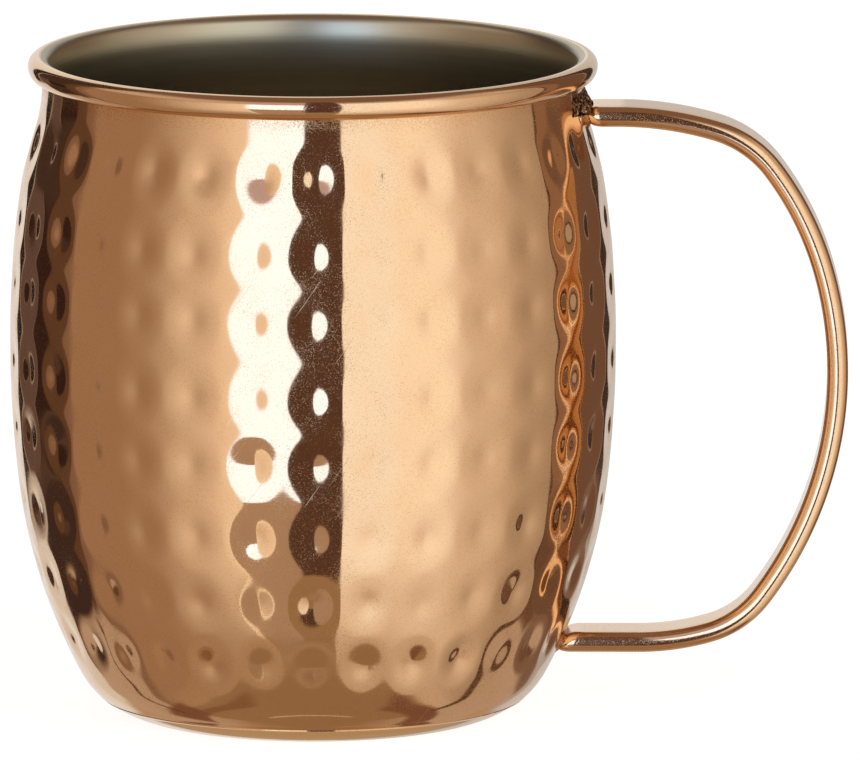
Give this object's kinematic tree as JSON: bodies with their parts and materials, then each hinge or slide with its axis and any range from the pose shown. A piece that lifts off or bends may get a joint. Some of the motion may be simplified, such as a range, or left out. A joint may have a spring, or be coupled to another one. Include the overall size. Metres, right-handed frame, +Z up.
{
  "type": "mug",
  "caption": "Barrel-shaped hammered copper mug with a rolled rim, a smooth steel lining, a flat foot and a D-shaped handle of flat bar with rounded edges.",
  "frame": {"origin": "centre of the flat resting face, on the mug's axis", "axes": "+Z up along the mug's axis, +X from the axis toward the handle, millimetres in the source and metres in the record"},
  "size_m": [0.1244, 0.09, 0.0986],
  "materials": {
    "copper": "polished copper",
    "lining": "brushed steel",
    "filler": "dull brazing filler"
  },
  "bodies": {
    "root": {"outer_shell": "copper", "inner_liner": "lining", "base_plate": "copper", "handle": "copper", "upper_braze": "filler", "lower_braze": "filler"}
  },
  "joints": []
}
